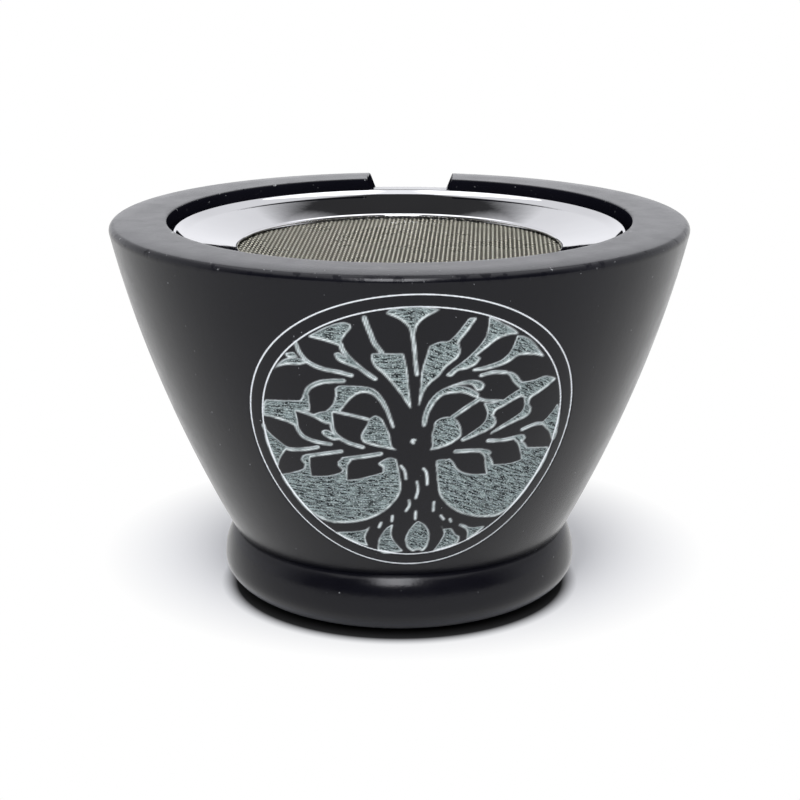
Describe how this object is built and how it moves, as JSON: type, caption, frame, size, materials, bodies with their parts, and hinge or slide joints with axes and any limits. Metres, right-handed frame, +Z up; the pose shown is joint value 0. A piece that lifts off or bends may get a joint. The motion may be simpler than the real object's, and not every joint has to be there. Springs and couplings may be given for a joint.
{
  "type": "soapstone incense burner",
  "caption": "Turned soapstone bowl on a ring foot, with a lift-off steel sieve seated in its notched rim and a tea light inside that warms incense on the mesh.",
  "frame": {"origin": "middle of the flat underside of the foot", "axes": "+Z up along the turning axis, +Y towards the finger notch at the back, so -Y is the carved front"},
  "size_m": [0.1126, 0.1121, 0.075],
  "materials": {
    "soapstone": "black-dyed and waxed, satin",
    "polished_steel": "polished stainless sheet",
    "wire_mesh": "woven stainless wire",
    "cup_aluminium": "bright rolled foil",
    "wax": "cast paraffin, translucent",
    "wick_cotton": "braided and waxed"
  },
  "bodies": {
    "bowl": {"stone_bowl": "soapstone"},
    "sieve": {"sieve_flange": "polished_steel", "sieve_mesh": "wire_mesh", "mesh_ring": "polished_steel"},
    "tealight": {"tealight_cup": "cup_aluminium", "tealight_wax": "wax", "tealight_wick": "wick_cotton", "wick_tab": "cup_aluminium"}
  },
  "joints": [
    {"name": "sieve_lift", "type": "slide", "parent": "bowl", "child": "sieve", "axis": [0, 0, 1], "range_m": [0, 0.06]},
    {"name": "tealight_lift", "type": "slide", "parent": "bowl", "child": "tealight", "axis": [0, 0, 1], "range_m": [0, 0.034]}
  ]
}
